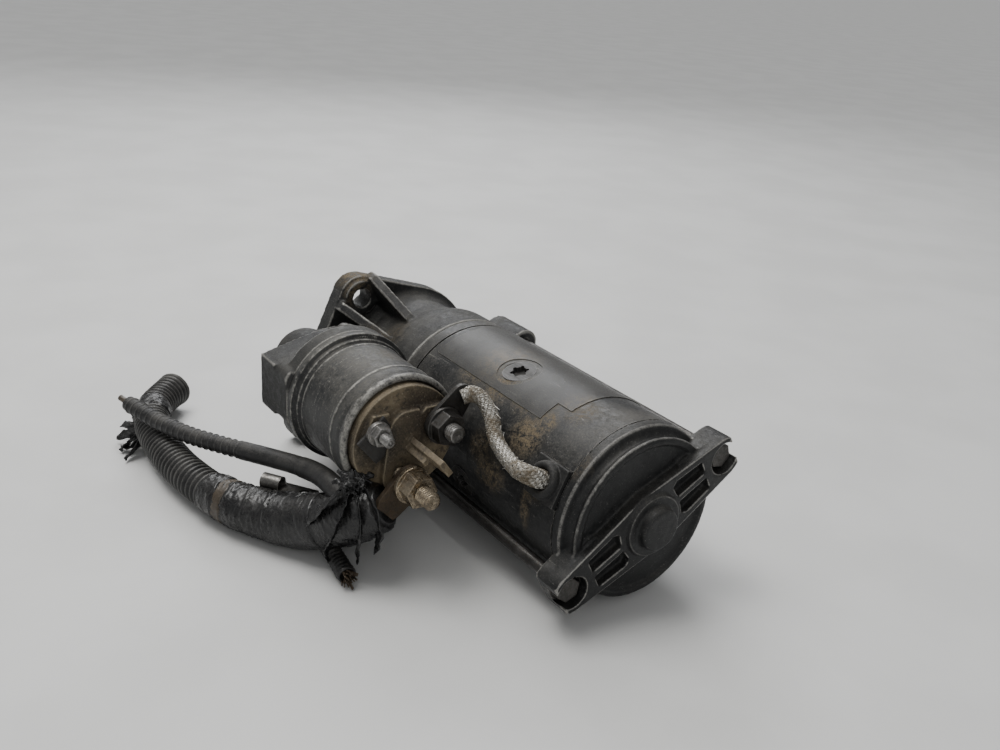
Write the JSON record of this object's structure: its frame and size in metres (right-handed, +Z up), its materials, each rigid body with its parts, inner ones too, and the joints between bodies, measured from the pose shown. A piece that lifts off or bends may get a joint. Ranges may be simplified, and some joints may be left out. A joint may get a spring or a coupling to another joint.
{
  "type": "starter motor",
  "caption": "Reduction-gear starter motor with a piggyback solenoid, mounting flange, overhung pinion and a cut-off cable harness.",
  "frame": {"origin": "on the shaft axis at the mounting flange's mating face", "axes": "+X along the shaft towards the pinion, +Y towards the solenoid, +Z up"},
  "size_m": [0.2859, 0.2095, 0.0918],
  "materials": {
    "paint_black": "worn satin black paint over steel",
    "cast_black": "worn black paint on cast metal",
    "foil_dark": "blank dark foil label",
    "steel_dark": "oily dark steel",
    "steel_dull": "dull machined steel",
    "copper": "enamelled copper",
    "copper_old": "oxidised copper",
    "copper_bright": "bare copper",
    "bronze": "sintered bronze",
    "brass": "dull brass",
    "tinned_braid": "dirty tinned copper braid",
    "rubber": "black rubber",
    "phenolic": "tan phenolic moulding",
    "nylon": "dark nylon",
    "carbon": "copper graphite",
    "conduit": "black corrugated conduit and tape",
    "tape": "glossy black tape"
  },
  "bodies": {
    "housing": {"yoke": "paint_black", "pole_screws": "steel_dark", "nameplate": "foil_dark", "pole_shoes": "steel_dark", "field_coils": "copper", "lead_grommet": "rubber", "rear_cover": "cast_black", "rear_bush": "bronze", "through_bolts": "steel_dark", "brush_plate": "steel_dull", "brushes": "carbon", "brush_springs": "steel_dull", "bulkhead_plate": "steel_dull", "bulkhead_bush": "bronze", "ring_gear": "steel_dull", "centre_support": "cast_black", "centre_bush": "bronze", "nose_bearing": "steel_dull", "drive_end_housing": "cast_black", "lever_pin": "steel_dull", "solenoid_can": "paint_black", "solenoid_screws": "steel_dark", "solenoid_core": "steel_dull", "solenoid_bobbin": "nylon", "solenoid_winding": "copper", "solenoid_cap": "phenolic", "motor_stud": "steel_dull", "battery_stud": "brass", "signal_stud": "steel_dull", "signal_plate": "steel_dull", "motor_nut": "steel_dull", "battery_nut": "brass", "signal_nut": "steel_dull", "motor_lead_lug": "steel_dark", "motor_lead_braid": "tinned_braid", "battery_cable_lug": "copper_old", "harness_trunk": "conduit", "harness_branch": "conduit", "harness_tail": "tape", "harness_eyelet": "steel_dull"},
    "armature": {"armature_shaft": "steel_dull", "armature_core": "steel_dark", "armature_windings": "copper", "commutator": "copper_bright"},
    "carrier": {"output_shaft": "steel_dull", "planet_pins": "steel_dull"},
    "planet_a": {"planet_gear_1": "steel_dull"},
    "planet_b": {"planet_gear_2": "steel_dull"},
    "planet_c": {"planet_gear_3": "steel_dull"},
    "clutch": {"drive_sleeve": "steel_dull", "clutch_shell": "steel_dull", "clutch_rollers": "steel_dull"},
    "pinion_group": {"pinion_sleeve": "steel_dull", "pinion": "steel_dull", "stop_ring": "steel_dark"},
    "lever": {"shift_lever": "nylon"},
    "plunger_group": {"plunger": "steel_dull", "plunger_spring": "steel_dull"},
    "contact": {"contact_disc": "copper_bright", "contact_rod": "nylon"}
  },
  "joints": [
    {"name": "armature_spin", "type": "hinge", "parent": "housing", "child": "armature", "pos_m": [-0.12, 0, 0], "axis": [1, 0, 0], "continuous": true},
    {"name": "output_spin", "type": "hinge", "parent": "housing", "child": "carrier", "pos_m": [-0.03, 0, 0], "axis": [1, 0, 0], "continuous": true},
    {"name": "planet_spin_a", "type": "hinge", "parent": "carrier", "child": "planet_a", "pos_m": [-0.06, 0, 0.015], "axis": [1, 0, 0], "continuous": true},
    {"name": "planet_spin_b", "type": "hinge", "parent": "carrier", "child": "planet_b", "pos_m": [-0.06, -0.01299, -0.0075], "axis": [1, 0, 0], "continuous": true},
    {"name": "planet_spin_c", "type": "hinge", "parent": "carrier", "child": "planet_c", "pos_m": [-0.06, 0.01299, -0.0075], "axis": [1, 0, 0], "continuous": true},
    {"name": "pinion_slide", "type": "slide", "parent": "carrier", "child": "clutch", "axis": [1, 0, 0], "range_m": [0, 0.012], "stiffness_N_per_m": 300, "springref_m": -0.004},
    {"name": "overrun_spin", "type": "hinge", "parent": "clutch", "child": "pinion_group", "pos_m": [0, 0, 0], "axis": [1, 0, 0], "continuous": true},
    {"name": "lever_swing", "type": "hinge", "parent": "housing", "child": "lever", "pos_m": [-0.0262, 0.03874, 0.00996], "axis": [0, -0.249, 0.9685], "range_deg": [0, 17.4]},
    {"name": "plunger_slide", "type": "slide", "parent": "housing", "child": "plunger_group", "axis": [-1, 0, 0], "range_m": [0, 0.0099], "deforming": ["plunger_spring"]},
    {"name": "contact_slide", "type": "slide", "parent": "housing", "child": "contact", "axis": [-1, 0, 0], "range_m": [0, 0.003]}
  ],
  "couplings": [
    {"joint": "output_spin", "follows": "armature_spin", "ratio": 0.22917},
    {"joint": "planet_spin_a", "follows": "armature_spin", "ratio": -0.65224},
    {"joint": "planet_spin_b", "follows": "armature_spin", "ratio": -0.65224},
    {"joint": "planet_spin_c", "follows": "armature_spin", "ratio": -0.65224},
    {"joint": "lever_swing", "follows": "pinion_slide", "rad_per_m": 25},
    {"joint": "plunger_slide", "follows": "pinion_slide", "ratio": 0.8125},
    {"joint": "contact_slide", "follows": "pinion_slide", "ratio": 0.24}
  ]
}
